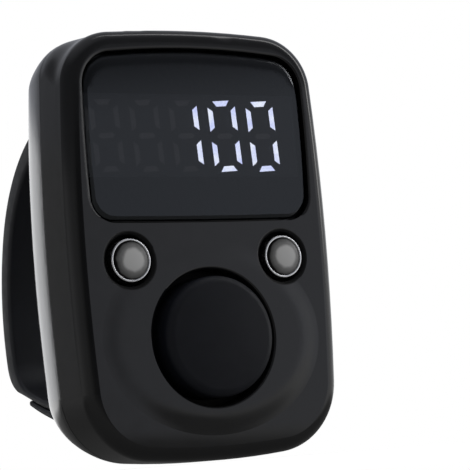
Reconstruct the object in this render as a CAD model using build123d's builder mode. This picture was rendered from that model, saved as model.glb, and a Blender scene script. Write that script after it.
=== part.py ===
from build123d import *
import os
from math import cos, hypot, radians, sin, sqrt

# Finger-worn tally counter, in millimetres. X is to the right, Z up and Y to the back.
# The origin is the centre of the flat back face, where the finger rests. A height is measured
# from that face towards the front, so that a piece at height h lies at y = -h.

os.makedirs("parts", exist_ok=True)

# Case
case_width = 28.8
case_height = 42.4
case_depth = 14.0
side_bow = 0.9
top_bow = 0.8
bottom_bow = 1.15
top_corner_radius = 4.0
front_top_corner_radius = 5.6
corner_band_foot = 0.4
corner_band_head = 1.9
bottom_corner_radius = 7.1
sharpest_corner = 0.6
front_edge_radius = 1.35
seam_edge_radius = 0.12
shoulder_radius = 5.0
shoulder_turn = 8.0
flank_radius = 24.8
back_edge_radius = 1.1
face_wall = 1.5
side_wall = 1.5
back_wall = 1.5
seam_wall = 2.3
lip_height = 1.0
lip_clearance = 0.08
cut_overrun = 1.0
rim_tolerance = 0.01

# Window and display
window_side_margin = 2.3
window_top_margin = 2.2
window_bottom_share = 0.0505
window_top_bow = 0.85
window_side_bow = 0.25
window_bottom_bow = 0.1
window_top_corner = 3.2
window_bottom_corner = 2.4
window_gap = 0.22
window_edge_radius = 0.12
lens_thickness = 1.1
lens_drop = 0.05
lens_side_bevel = 0.36
lens_top_bevel = 1.0
lens_bottom_bevel = 0.45
lens_bevel_depth = 0.25
lens_edge = 0.05
lens_edge_depth = 0.08
adhesive_thickness = 0.15
window_floor = 1.0
window_floor_rim = 1.0
display_side_margin = 0.7
display_height_share = 0.4686
display_rise = 0.05
display_border = 0.68
digit_count = 5
digit_pitch_share = 0.1908
digit_width_share = 0.598
digit_lean = 3.3
middle_digit_x_share = -0.0344
segment_width = 0.54
across_length_share = 0.71
down_length_share = 0.74
segment_cut_share = 0.72
bar_rise_share = 0.263
segment_depth = 0.9
display_clearance = 0.15
display_drop = 0.2
display_board_thickness = 0.6
led_width = 0.5
led_thickness = 0.4

# Count button and its well
count_drop_share = 0.22
pedestal_margin = 2.05
pedestal_height_share = 0.466
pedestal_slope = 2.8
pedestal_rise = 0.18
pedestal_sink = 0.004
count_well_radius = 6.65
count_well_depth = 2.3
count_radius = 5.9
count_crown = 0.3
count_edge_radius = 0.9
count_proud = 1.9
count_travel = 0.4
well_wall = 1.0
well_floor = 1.0
well_edge_radius = 0.3
flange_overlap = 0.9
flange_thickness = 0.8
flange_gap = 0.05
button_clearance = 0.1
cap_wall = 1.1
cap_roof = 2.6

# Small buttons and their wells
small_x_share = 0.2941
small_drop_share = 0.0387
small_well_radius = 2.5
small_well_depth = 1.7
small_well_wall = 1.2
small_well_floor = 0.8
small_well_edge_radius = 0.4
small_radius = 2.1
small_ring_wall = 0.22
small_ring_proud = 0.28
small_ring_height = 1.3
small_ring_edge = 0.09
small_ring_fit = 0.02
small_dome_rise = 0.22
small_flange_overlap = 0.45
small_flange_thickness = 0.6
small_stem_radius = 1.0
small_stem_length = 0.9
small_travel = 0.3

# Main board and what it carries
board_drop = 6.85
board_thickness = 0.8
board_gap = 0.35
switch_size = 6.0
switch_corner = 0.5
plunger_radius = 1.75
plunger_proud = 0.9
plunger_root = 0.6
plunger_fit = 0.04
plunger_gap = 0.05
cover_thickness = 0.3
small_switch_width = 4.2
small_switch_depth = 3.4
small_plunger_radius = 0.8
small_plunger_proud = 0.5
chip_width = 9.9
chip_depth = 3.6
chip_thickness = 1.4
chip_rise_share = 0.0778
lead_count = 8
lead_pitch = 1.27
lead_width = 0.4
lead_length = 0.55
charger_width = 2.9
charger_depth = 1.6
charger_thickness = 1.1
charger_x_share = 0.187
charger_rise_share = 0.2264
passive_length = 1.6
passive_width = 0.8
passive_thickness = 0.5
passive_pitch = 1.9
passive_count = 4
passive_rise_share = 0.2925

# Charging socket, on the right flank under the board
socket_width = 8.94
socket_height = 3.16
socket_length = 7.35
socket_wall = 0.3
socket_recess = 0.7
socket_clearance = 0.15
socket_round_share = 0.46
tongue_width = 6.7
tongue_thickness = 0.7
tongue_back = 2.0
tongue_short = 1.0
contact_count = 6
contact_pitch = 0.9
contact_width = 0.35
contact_thickness = 0.1

# Cell, its pad and its leads
cell_side_inset = 5.07
cell_socket_gap = 3.9
cell_end_gap = 3.4
cell_gap = 1.15
cell_edge_share = 0.3
pad_thickness = 0.5
pad_margin = 1.5
lead_radius = 0.4
lead_spacing = 2.4
lead_rise = 2.0
lead_bend = 1.1

# Case screws, each set in from the case's edges
screw_side_inset = 5.7
upper_screw_inset = 5.1
lower_screw_inset = 5.9
screw_head_radius = 1.0
screw_head_height = 0.9
screw_sink = 0.25
screw_radius = 0.65
screw_fit = 0.08
screw_end_gap = 0.4
cross_length = 1.2
cross_width = 0.3
cross_depth = 0.45
boss_radius = 1.3
head_boss_radius = 1.5

# Strap, drawn in the plane x = 0
strap_side_gap = 0.2
strap_thickness = 2.2
strap_reach = 20.98
strap_edge_radius = 0.3
root_inset = 5.6
slot_clearance = 0.12
bead_height = 3.3
bead_thickness = 1.4
tail_thickness = 0.85
tail_lap = 0.4
tail_end = 3.6
tab_thickness = 0.9
tab_reach_share = 0.7055
tab_rise = 2.5
tab_shoulder = 2.6
tab_tip_thickness = 0.6
tab_tip_length = 6.0
layer_gap = 0.06
stud_y = 6.5
stud_radius = 0.85
stud_head_radius = 1.5
stud_head_thickness = 0.6
hole_clearance = 0.1
hole_end_margin = 1.7
hole_count = 3
# Outer edge of the band: back, as shares of the reach, and up, as shares of the root's outer face
shoulder_shares = (0.339, 0.946)
rear_shares = (0.910, 0.297)
low_shares = (0.968, -0.567)
corner_shares = (0.835, -0.742)

# Places across the face
window_width = case_width - 2 * window_side_margin
window_top = case_height / 2 - window_top_margin
window_bottom = case_height * window_bottom_share
display_width = window_width - 2 * display_side_margin
display_height = (window_top - window_bottom) * display_height_share
digit_centre_z = (window_top + window_bottom) / 2 + display_rise
digit_height = display_height - 2 * display_border
digit_pitch = display_width * digit_pitch_share
digit_width = digit_pitch * digit_width_share
count_z = -case_height * count_drop_share
pedestal_width = case_width - 2 * pedestal_margin
pedestal_height = case_height * pedestal_height_share
small_x = case_width * small_x_share
small_z = -case_height * small_drop_share
small_spots = [(-small_x, small_z), (small_x, small_z)]
screw_x = case_width / 2 - screw_side_inset
upper_screw_z = case_height / 2 - upper_screw_inset
lower_screw_z = lower_screw_inset - case_height / 2
screw_spots = [(x, z) for x in (-screw_x, screw_x) for z in (lower_screw_z, upper_screw_z)]
strap_width = 2 * (screw_x - head_boss_radius - strap_side_gap)
root_z = case_height / 2 - root_inset
root_outer = root_z + strap_thickness / 2
root_inner = root_z - strap_thickness / 2

# Heights above the back face
face_height = case_depth
ceiling_height = face_height - face_wall
pedestal_top = face_height + pedestal_rise
board_height = case_depth - board_drop
board_top = board_height + board_thickness
seam_height = board_top
window_floor_height = face_height - lens_drop - lens_thickness - adhesive_thickness
window_floor_back = window_floor_height - window_floor
display_base = board_top + display_board_thickness
display_face = window_floor_height + adhesive_thickness - display_drop
count_floor = face_height - count_well_depth
count_floor_back = count_floor - well_floor
count_top = pedestal_top + count_proud
count_rim = count_top - count_crown
small_floor = face_height - small_well_depth
small_floor_back = small_floor - small_well_floor
ring_top = face_height + small_ring_proud
ring_foot = ring_top - small_ring_height


def level(height):
    """Plane parallel to the back face, looking to the front, with x across and y up."""
    return Plane.XZ.offset(height)


def turning(x, z):
    """Plane through a button's axis: local x is the radius and local y the height."""
    return Plane(origin=(x, 0, z), x_dir=(1, 0, 0), z_dir=(0, 0, -1))


def turning_axis(x, z):
    return Axis((x, 0, z), (0, -1, 0))


def ease(share):
    """Rise from 0 to 1 that is level at both ends and bends into each slowly."""
    return share**3 * (10 - 15 * share + 6 * share**2)


def flank_inset(height):
    """How far the rear flank has drawn in from the full outline, at a height under the seam."""
    depth = seam_height - height
    shoulder_depth = shoulder_radius * sin(radians(shoulder_turn))
    if depth <= shoulder_depth:
        return shoulder_radius - sqrt(shoulder_radius**2 - depth**2)
    shoulder_inset = shoulder_radius * (1 - cos(radians(shoulder_turn)))
    lean = sin(radians(shoulder_turn)) + (depth - shoulder_depth) / flank_radius
    return shoulder_inset + flank_radius * (cos(radians(shoulder_turn)) - sqrt(1 - lean**2))


def rim_edges(builder, spot, radius):
    """Front edges of a round well, found by their distance from its axis."""

    def on_rim(point):
        return abs(hypot(point.X - spot[0], point.Z - spot[1]) - radius) < rim_tolerance

    front_edges = builder.edges().filter_by(lambda edge: -edge.center().Y > face_height - rim_tolerance)
    return front_edges.filter_by(lambda edge: on_rim(edge @ 0) and on_rim(edge @ 0.5))


def bowed_outline(half_width, top, bottom, bows, corners):
    """Rounded four-sided outline whose sides are shallow arcs."""
    side, upper, lower = bows
    corner_x = half_width - side
    middle = (top + bottom) / 2
    with BuildSketch() as outline:
        with BuildLine():
            ThreePointArc((corner_x, bottom + lower), (half_width, middle), (corner_x, top - upper))
            ThreePointArc((corner_x, top - upper), (0, top), (-corner_x, top - upper))
            ThreePointArc((-corner_x, top - upper), (-half_width, middle), (-corner_x, bottom + lower))
            ThreePointArc((-corner_x, bottom + lower), (0, bottom), (corner_x, bottom + lower))
        make_face()
        rows = outline.vertices().group_by(Axis.Y)
        fillet(rows[-1], corners[0])
        rows = outline.vertices().group_by(Axis.Y)
        fillet(rows[0], corners[1])
    return outline.sketch


def case_outline(inset, upper_radius=top_corner_radius):
    corners = [max(radius - inset, sharpest_corner) for radius in (upper_radius, bottom_corner_radius)]
    half_height = case_height / 2 - inset
    bows = (side_bow, top_bow, bottom_bow)
    return bowed_outline(case_width / 2 - inset, half_height, -half_height, bows, corners)


def window_outline(inset):
    corners = [max(radius - inset, sharpest_corner) for radius in (window_top_corner, window_bottom_corner)]
    bows = (window_side_bow, window_top_bow, window_bottom_bow)
    return bowed_outline(window_width / 2 - inset, window_top - inset, window_bottom + inset, bows, corners)


def lens_flat_outline():
    """Flat middle of the lens, whose bevel is wider along the top than down the sides."""
    half_width = window_width / 2 - lens_side_bevel
    corners = (window_top_corner - lens_side_bevel, window_bottom_corner - lens_side_bevel)
    bows = (window_side_bow, window_top_bow, window_bottom_bow)
    return bowed_outline(
        half_width, window_top - lens_top_bevel, window_bottom + lens_bottom_bevel, bows, corners
    )


def finish(builder, label):
    builder.part.label = label
    export_step(builder.part, f"parts/{label}.step")


corner_steps = 4
corner_foot = seam_height + corner_band_foot
corner_head = face_height - corner_band_head
pedestal_steps = 8
pedestal_shares = [step / pedestal_steps for step in range(pedestal_steps + 1)]

# Front housing: a moulded shell with the window recess, three button wells and four screw bosses,
# whose top corners grow rounder towards the face
with BuildPart() as front_housing:
    with BuildSketch(level(seam_height)):
        add(case_outline(0))
    extrude(amount=corner_foot - seam_height)
    for share in [step / corner_steps for step in range(corner_steps + 1)]:
        with BuildSketch(level(corner_foot + (corner_head - corner_foot) * share)):
            radius_gain = (front_top_corner_radius - top_corner_radius) * ease(share)
            add(case_outline(0, top_corner_radius + radius_gain))
    loft()
    with BuildSketch(level(corner_head)):
        add(case_outline(0, front_top_corner_radius))
    extrude(amount=face_height - corner_head)
    fillet(front_housing.faces().sort_by(Axis.Y)[0].edges(), front_edge_radius)
    fillet(front_housing.faces().sort_by(Axis.Y)[-1].edges(), seam_edge_radius)
    # Low pedestal round the count button, with a flank that eases in and out
    for share in pedestal_shares:
        with BuildSketch(level(face_height - pedestal_sink + (pedestal_rise + pedestal_sink) * ease(share))):
            with Locations((0, count_z)):
                Ellipse(
                    pedestal_width / 2 - pedestal_slope * share,
                    pedestal_height / 2 - pedestal_slope * share,
                )
    loft()
    # Cavity behind the face
    with BuildSketch(level(seam_height)):
        add(case_outline(side_wall))
    extrude(amount=ceiling_height - seam_height, mode=Mode.SUBTRACT)
    # Floor under the window, and the wells' cups
    with BuildSketch(level(ceiling_height)):
        add(window_outline(-window_floor_rim))
    extrude(amount=window_floor_back - ceiling_height)
    with BuildSketch(level(ceiling_height)):
        with Locations((0, count_z)):
            Circle(count_well_radius + well_wall)
    extrude(amount=count_floor_back - ceiling_height)
    with BuildSketch(level(ceiling_height)):
        with Locations(*small_spots):
            Circle(small_well_radius + small_well_wall)
    extrude(amount=small_floor_back - ceiling_height)
    with BuildSketch(level(ceiling_height)):
        with Locations(*screw_spots):
            Circle(boss_radius)
    extrude(amount=board_top - ceiling_height)
    # Window recess and the display's opening
    with BuildSketch(level(window_floor_height)):
        add(window_outline(-window_gap))
    extrude(amount=case_depth, mode=Mode.SUBTRACT)
    with BuildSketch(level(window_floor_height)):
        with Locations((0, digit_centre_z)):
            Rectangle(display_width + 2 * display_clearance, display_height + 2 * display_clearance)
    extrude(amount=-case_depth, mode=Mode.SUBTRACT)
    # Wells, and the holes that guide the buttons
    with BuildSketch(level(count_floor)):
        with Locations((0, count_z)):
            Circle(count_well_radius)
    extrude(amount=case_depth, mode=Mode.SUBTRACT)
    with BuildSketch(level(count_floor + cut_overrun)):
        with Locations((0, count_z)):
            Circle(count_radius + button_clearance)
    extrude(amount=-case_depth, mode=Mode.SUBTRACT)
    with BuildSketch(level(small_floor)):
        with Locations(*small_spots):
            Circle(small_well_radius)
    extrude(amount=case_depth, mode=Mode.SUBTRACT)
    with BuildSketch(level(small_floor + cut_overrun)):
        with Locations(*small_spots):
            Circle(small_radius + button_clearance)
    extrude(amount=-case_depth, mode=Mode.SUBTRACT)
    # Rounded rims of the wells and of the window's recess
    fillet(rim_edges(front_housing, (0, count_z), count_well_radius), well_edge_radius)
    for spot in small_spots:
        fillet(rim_edges(front_housing, spot, small_well_radius), small_well_edge_radius)
    face = front_housing.faces().filter_by(Axis.Y).sort_by(SortBy.AREA)[-1]
    fillet(face.inner_wires().sort_by(Axis.Z)[-1].edges(), window_edge_radius)
    # Pilot holes for the screws
    with BuildSketch(level(board_top - cut_overrun)):
        with Locations(*screw_spots):
            Circle(screw_radius + screw_fit)
    extrude(amount=ceiling_height - window_floor - board_top + cut_overrun, mode=Mode.SUBTRACT)
finish(front_housing, "front_housing")

# Rear housing: drawn-in flanks, a lip that enters the front housing, strap slots and screw bosses
flank_levels = [seam_height * share for share in (1.0, 0.91, 0.75, 0.5, 0.25, 0.0)]
with BuildPart() as rear_housing:
    for height in flank_levels:
        with BuildSketch(level(height)):
            add(case_outline(flank_inset(height)))
    loft()
    fillet(rear_housing.faces().sort_by(Axis.Y)[-1].edges(), back_edge_radius)
    with BuildSketch(level(seam_height)):
        add(case_outline(side_wall + lip_clearance))
    extrude(amount=lip_height)
    # Cavity, closing in with the flanks
    with BuildSketch(level(back_wall)):
        add(case_outline(flank_inset(back_wall) + side_wall))
    with BuildSketch(level(seam_height)):
        add(case_outline(seam_wall))
    loft(ruled=True, mode=Mode.SUBTRACT)
    with BuildSketch(level(seam_height)):
        add(case_outline(seam_wall))
    extrude(amount=lip_height, mode=Mode.SUBTRACT)
    # Bosses that carry the main board
    with BuildSketch(level(back_wall)):
        with Locations(*screw_spots):
            Circle(head_boss_radius)
    extrude(amount=board_height - back_wall)
    with BuildSketch(level(0)):
        with Locations(*screw_spots):
            Circle(screw_radius + screw_fit)
    extrude(amount=board_height, mode=Mode.SUBTRACT)
    with BuildSketch(level(0)):
        with Locations(*screw_spots):
            Circle(screw_head_radius + screw_fit)
    extrude(amount=screw_head_height + screw_sink, mode=Mode.SUBTRACT)
    # Slots for the strap's two roots
    with BuildSketch(level(0)):
        with Locations((0, root_z), (0, -root_z)):
            Rectangle(strap_width + 2 * slot_clearance, strap_thickness + 2 * slot_clearance)
    extrude(amount=back_wall, mode=Mode.SUBTRACT)
    # Mouth for the charging socket
    with BuildSketch(Plane.YZ.offset(case_width / 4)):
        with Locations((-(board_height - socket_height / 2), 0)):
            RectangleRounded(
                socket_height + 2 * socket_clearance,
                socket_width + 2 * socket_clearance,
                socket_height * socket_round_share,
            )
    extrude(amount=case_width / 2, mode=Mode.SUBTRACT)
finish(rear_housing, "rear_housing")

# Window: a smoked lens with a bevelled front edge, on an adhesive frame
lens_back = window_floor_height + adhesive_thickness
lens_front = lens_back + lens_thickness
with BuildPart() as display_lens:
    with BuildSketch(level(lens_back)):
        add(window_outline(0))
    extrude(amount=lens_thickness - lens_bevel_depth - lens_edge_depth)
    with BuildSketch(level(lens_front - lens_bevel_depth - lens_edge_depth)):
        add(window_outline(0))
    with BuildSketch(level(lens_front - lens_bevel_depth)):
        add(window_outline(lens_edge))
    with BuildSketch(level(lens_front)):
        add(lens_flat_outline())
    loft(ruled=True)
finish(display_lens, "display_lens")

with BuildPart() as lens_adhesive:
    with BuildSketch(level(window_floor_height)):
        add(window_outline(0))
        with Locations((0, digit_centre_z)):
            Rectangle(
                display_width + 2 * display_clearance,
                display_height + 2 * display_clearance,
                mode=Mode.SUBTRACT,
            )
    extrude(amount=adhesive_thickness)
finish(lens_adhesive, "lens_adhesive")


# Display module: a reflector block with a cavity for each bar, filled bars, chips, board and pins
def outer_bar(length):
    """Bar lying along x whose ends slant in, so that its upper edge is the longer one."""
    half_length = length / 2
    half_width = segment_width / 2
    cut = segment_width * segment_cut_share
    with BuildSketch() as shape:
        Polygon(
            (-half_length, half_width),
            (half_length, half_width),
            (half_length - cut, -half_width),
            (-half_length + cut, -half_width),
        )
    return shape.sketch


def middle_bar(length):
    """Bar lying along x with both ends pointed."""
    half_length = length / 2
    half_width = segment_width / 2
    with BuildSketch() as shape:
        Polygon(
            (-half_length, 0),
            (-half_length + half_width, half_width),
            (half_length - half_width, half_width),
            (half_length, 0),
            (half_length - half_width, -half_width),
            (-half_length + half_width, -half_width),
        )
    return shape.sketch


def digit_bars():
    """Bars a to g of one upright digit, each outer bar with its longer edge outside."""
    half = digit_height / 2
    side = digit_width / 2
    rise = digit_height * bar_rise_share
    across = outer_bar(digit_width * across_length_share)
    down = outer_bar(half * down_length_share)
    return {
        "a": Location((0, half), 0) * across,
        "b": Location((side, rise), -90) * down,
        "c": Location((side, -rise), -90) * down,
        "d": Location((0, -half), 180) * across,
        "e": Location((-side, -rise), 90) * down,
        "f": Location((-side, rise), 90) * down,
        "g": middle_bar(digit_width * across_length_share),
    }


shown_number = ("", "", "bc", "abcdef", "abcdef")
lit_bars = []
dark_bars = []
for place, lit_names in enumerate(shown_number):
    digit_x = display_width * middle_digit_x_share + (place - (digit_count - 1) / 2) * digit_pitch
    digit = Location((digit_x, digit_centre_z), digit_lean)
    for name, shape in digit_bars().items():
        outline = digit * shape
        if name in lit_names:
            lit_bars.append(outline)
        else:
            dark_bars.append(outline)

with BuildPart() as display_reflector:
    with BuildSketch(level(display_base)):
        with Locations((0, digit_centre_z)):
            Rectangle(display_width, display_height)
    extrude(amount=display_face - display_base)
    with BuildSketch(level(display_face)):
        add(lit_bars + dark_bars)
    extrude(amount=display_base - display_face, mode=Mode.SUBTRACT)
finish(display_reflector, "display_reflector")

for label, bars in (("display_bars_lit", lit_bars), ("display_bars_dark", dark_bars)):
    with BuildPart() as bar_group:
        with BuildSketch(level(display_face)):
            add(bars)
        extrude(amount=-segment_depth)
    finish(bar_group, label)

with BuildPart() as display_board:
    with BuildSketch(level(board_top)):
        with Locations((0, digit_centre_z)):
            Rectangle(display_width, display_height)
    extrude(amount=display_board_thickness)
finish(display_board, "display_board")

with BuildPart() as display_chips:
    with BuildSketch(level(display_base)):
        for outline in lit_bars + dark_bars:
            with Locations(outline.center()):
                Rectangle(led_width, led_width)
    extrude(amount=led_thickness)
finish(display_chips, "display_chips")

# Main board, clamped between the housings' bosses
with BuildPart() as main_board:
    with BuildSketch(level(board_height)):
        add(case_outline(seam_wall + board_gap))
        with Locations(*screw_spots):
            Circle(screw_radius + screw_fit, mode=Mode.SUBTRACT)
    extrude(amount=board_thickness)
finish(main_board, "main_board")

# Controller chip with its two rows of leads, charger chip and passives
with BuildPart() as controller_chip:
    with BuildSketch(level(board_top)):
        with Locations((0, case_height * chip_rise_share)):
            Rectangle(chip_width, chip_depth)
    extrude(amount=chip_thickness)
finish(controller_chip, "controller_chip")

with BuildPart() as controller_leads:
    for side in (-1, 1):
        with BuildSketch(level(board_top)):
            lead_row_z = case_height * chip_rise_share + side * (chip_depth + lead_length) / 2
            with Locations((0, lead_row_z)):
                with GridLocations(lead_pitch, 0, lead_count, 1):
                    Rectangle(lead_width, lead_length)
        extrude(amount=chip_thickness / 4)
finish(controller_leads, "controller_leads")

charger_x = case_width * charger_x_share
with BuildPart() as charger_chip:
    with BuildSketch(level(board_height)):
        with Locations((charger_x, case_height * charger_rise_share)):
            Rectangle(charger_width, charger_depth)
    extrude(amount=-charger_thickness)
finish(charger_chip, "charger_chip")

board_foot = seam_wall + board_gap - case_height / 2
low_passive_z = (count_z - switch_size / 2 + board_foot) / 2
with BuildPart() as passives:
    with BuildSketch(level(board_height)):
        with Locations((charger_x, case_height * passive_rise_share)):
            with GridLocations(0, passive_width * 2, 1, 2):
                Rectangle(passive_length, passive_width)
    extrude(amount=-passive_thickness)
    with BuildSketch(level(board_top)):
        with Locations((0, low_passive_z)):
            with GridLocations(passive_pitch, 0, passive_count, 1):
                Rectangle(passive_width, passive_length)
    extrude(amount=passive_thickness)
finish(passives, "passives")

# Count switch: a square base with a bore, a steel cover with a hole, and a round plunger
cap_ceiling = count_rim - cap_roof
plunger_top = cap_ceiling - cap_wall
switch_top = plunger_top - plunger_proud
with BuildPart() as count_switch:
    with BuildSketch(level(board_top)):
        with Locations((0, count_z)):
            RectangleRounded(switch_size, switch_size, switch_corner)
    extrude(amount=switch_top - cover_thickness - board_top)
    with BuildSketch(level(switch_top - plunger_root - 2 * count_travel)):
        with Locations((0, count_z)):
            Circle(plunger_radius + plunger_fit)
    extrude(amount=case_depth, mode=Mode.SUBTRACT)
finish(count_switch, "count_switch")

with BuildPart() as count_switch_cover:
    with BuildSketch(level(switch_top - cover_thickness)):
        with Locations((0, count_z)):
            RectangleRounded(switch_size, switch_size, switch_corner)
            Circle(plunger_radius + plunger_fit, mode=Mode.SUBTRACT)
    extrude(amount=cover_thickness)
finish(count_switch_cover, "count_switch_cover")

with BuildPart() as count_plunger:
    with BuildSketch(level(switch_top - plunger_root)):
        with Locations((0, count_z)):
            Circle(plunger_radius)
    extrude(amount=plunger_root + plunger_proud)
finish(count_plunger, "count_plunger")

# Count button: a crowned cap with a hidden flange that keeps it in its well
flange_top = count_floor_back - flange_gap
flange_radius = count_radius + button_clearance + flange_overlap
with BuildPart() as count_button:
    with BuildSketch(turning(0, count_z)):
        with BuildLine():
            crown_edge = (count_radius - count_edge_radius, count_rim)
            crown = ThreePointArc(
                (0, count_top),
                (crown_edge[0] / 2, count_top - count_crown / 4),
                crown_edge,
            )
            edge = RadiusArc(crown @ 1, (count_radius, count_rim - count_edge_radius), count_edge_radius)
            Polyline(
                edge @ 1,
                (count_radius, flange_top),
                (flange_radius, flange_top),
                (flange_radius, flange_top - flange_thickness),
                (count_radius - cap_wall, flange_top - flange_thickness),
                (count_radius - cap_wall, cap_ceiling),
                (plunger_radius, cap_ceiling),
                (plunger_radius, plunger_top + plunger_gap),
                (0, plunger_top + plunger_gap),
                (0, count_top),
            )
        make_face()
    revolve(axis=turning_axis(0, count_z))
finish(count_button, "count_button")

# Small buttons: a translucent domed cap in a metal ring, on a small switch
small_cap_radius = small_radius - small_ring_wall - small_ring_fit
small_flange_top = small_floor_back - flange_gap
small_flange_foot = small_flange_top - small_flange_thickness
small_flange_radius = small_radius + button_clearance + small_flange_overlap
small_plunger_top = small_flange_foot - small_stem_length - plunger_gap
small_switch_top = small_plunger_top - small_plunger_proud
for side, (x, z) in zip(("left", "right"), small_spots):
    with BuildPart() as small_switch:
        with BuildSketch(level(board_top)):
            with Locations((x, z)):
                Rectangle(small_switch_width, small_switch_depth)
        extrude(amount=small_switch_top - board_top)
        with BuildSketch(level(small_switch_top - small_plunger_proud - 2 * small_travel)):
            with Locations((x, z)):
                Circle(small_plunger_radius + plunger_fit)
        extrude(amount=case_depth, mode=Mode.SUBTRACT)
    finish(small_switch, f"{side}_switch")

    with BuildPart() as small_plunger:
        with BuildSketch(level(small_switch_top - small_plunger_proud)):
            with Locations((x, z)):
                Circle(small_plunger_radius)
        extrude(amount=2 * small_plunger_proud)
    finish(small_plunger, f"{side}_plunger")

    with BuildPart() as small_ring:
        with BuildSketch(level(ring_foot)):
            with Locations((x, z)):
                Circle(small_radius)
                Circle(small_radius - small_ring_wall, mode=Mode.SUBTRACT)
        extrude(amount=small_ring_height)
        fillet(small_ring.faces().sort_by(Axis.Y)[0].edges(), small_ring_edge)
    finish(small_ring, f"{side}_button_ring")

    with BuildPart() as small_cap:
        with BuildSketch(turning(x, z)):
            with BuildLine():
                dome = ThreePointArc(
                    (0, ring_top + small_dome_rise),
                    (small_cap_radius / 2, ring_top + small_dome_rise * cos(radians(45))),
                    (small_cap_radius, ring_top - small_ring_edge),
                )
                Polyline(
                    dome @ 1,
                    (small_cap_radius, ring_foot),
                    (small_radius, ring_foot),
                    (small_radius, small_flange_top),
                    (small_flange_radius, small_flange_top),
                    (small_flange_radius, small_flange_foot),
                    (small_stem_radius, small_flange_foot),
                    (small_stem_radius, small_plunger_top + plunger_gap),
                    (0, small_plunger_top + plunger_gap),
                    dome @ 0,
                )
            make_face()
        revolve(axis=turning_axis(x, z))
    finish(small_cap, f"{side}_button_cap")

# Charging socket under the board: an oval steel shell, and a tongue with its contacts
socket_mouth = case_width / 2 - flank_inset(board_height - socket_height / 2) - socket_recess
socket_back = socket_mouth - socket_length
socket_spot = (-(board_height - socket_height / 2), 0)
with BuildPart() as socket_shell:
    with BuildSketch(Plane.YZ.offset(socket_back)):
        with Locations(socket_spot):
            RectangleRounded(socket_height, socket_width, socket_height * socket_round_share)
    extrude(amount=socket_length)
    inner_height = socket_height - 2 * socket_wall
    with BuildSketch(Plane.YZ.offset(socket_back + socket_wall)):
        with Locations(socket_spot):
            RectangleRounded(
                inner_height, socket_width - 2 * socket_wall, inner_height * socket_round_share
            )
    extrude(amount=socket_length, mode=Mode.SUBTRACT)
finish(socket_shell, "socket_shell")

with BuildPart() as socket_tongue:
    with BuildSketch(Plane.YZ.offset(socket_back + socket_wall)):
        with Locations(socket_spot):
            RectangleRounded(
                inner_height, socket_width - 2 * socket_wall, inner_height * socket_round_share
            )
    extrude(amount=tongue_back)
    with BuildSketch(Plane.YZ.offset(socket_back + socket_wall)):
        with Locations(socket_spot):
            Rectangle(tongue_thickness, tongue_width)
    extrude(amount=socket_length - socket_wall - tongue_short)
finish(socket_tongue, "socket_tongue")

with BuildPart() as socket_contacts:
    for side in (-1, 1):
        face_y = socket_spot[0] + side * (tongue_thickness + contact_thickness) / 2
        with BuildSketch(Plane.YZ.offset(socket_back + socket_wall + tongue_back)):
            with Locations((face_y, 0)):
                with GridLocations(0, contact_pitch, 1, contact_count):
                    Rectangle(contact_thickness, contact_width)
        extrude(amount=socket_length - socket_wall - tongue_back - 1.5 * tongue_short)
finish(socket_contacts, "socket_contacts")

# Pouch cell on its foam pad, with two leads that turn up to the board
cell_base = back_wall + pad_thickness
cell_thickness = board_height - cell_gap - cell_base
cell_left = cell_side_inset - case_width / 2
cell_right = socket_back - cell_socket_gap
cell_width = cell_right - cell_left
cell_x = (cell_right + cell_left) / 2
cell_height = 2 * (root_outer - bead_height - cell_end_gap)
with BuildPart() as cell:
    with BuildSketch(level(cell_base)):
        with Locations((cell_x, 0)):
            Rectangle(cell_width, cell_height)
    extrude(amount=cell_thickness)
    fillet(cell.edges().filter_by(Axis.Z), cell_thickness * cell_edge_share)
finish(cell, "cell")

with BuildPart() as cell_pad:
    with BuildSketch(level(back_wall)):
        with Locations((cell_x, 0)):
            Rectangle(cell_width - 2 * pad_margin, cell_height - 2 * pad_margin)
    extrude(amount=pad_thickness)
finish(cell_pad, "cell_pad")

lead_height = cell_base + cell_thickness / 2
for label, shift in (("cell_lead_plus", 0.5), ("cell_lead_minus", -0.5)):
    lead_x = cell_x + shift * lead_spacing
    start = (lead_x, -lead_height, cell_height / 2)
    turn = (lead_x, -lead_height, cell_height / 2 + lead_rise)
    end = (lead_x, -board_height, cell_height / 2 + lead_rise)
    with BuildPart() as lead:
        with BuildLine():
            FilletPolyline(start, turn, end, radius=lead_bend)
        with BuildSketch(Plane(origin=start, z_dir=(0, 0, 1))):
            Circle(lead_radius)
        sweep()
    finish(lead, label)

# Case screws, driven from the back through the rear bosses and the board into the front housing
with BuildPart() as case_screws:
    with BuildSketch(level(screw_sink)):
        with Locations(*screw_spots):
            Circle(screw_head_radius)
    extrude(amount=screw_head_height)
    with BuildSketch(level(screw_sink + screw_head_height)):
        with Locations(*screw_spots):
            Circle(screw_radius)
    extrude(amount=ceiling_height - window_floor - screw_end_gap - screw_sink - screw_head_height)
    with BuildSketch(level(screw_sink)):
        with Locations(*screw_spots):
            Rectangle(cross_length, cross_width)
            Rectangle(cross_width, cross_length)
    extrude(amount=cross_depth, mode=Mode.SUBTRACT)
finish(case_screws, "case_screws")


# Strap: a long band from the upper root, whose thin tail buttons to a short tab from the lower root
def inside(edge, share, depth):
    """Point at a share of an edge's length, moved in from it towards the finger."""
    direction = edge % share
    normal = Vector(direction.Y, -direction.X)
    return edge @ share + normal * depth


def offset_arc(edge, depth):
    """Arc that runs back along an arc of the outer edge, inside it by a depth."""
    return ThreePointArc(inside(edge, 1, depth), inside(edge, 0.5, depth), inside(edge, 0, depth))


tab_reach = strap_reach * tab_reach_share
tail_start = tab_reach + tail_lap
hole_pitch = (tab_reach - hole_end_margin - stud_y) / (hole_count - 1)
seat_z = -root_outer + tab_thickness
seat_radius = (tab_reach**2 + tab_rise**2) / (2 * tab_rise)
seat_centre = seat_z + seat_radius


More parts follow.
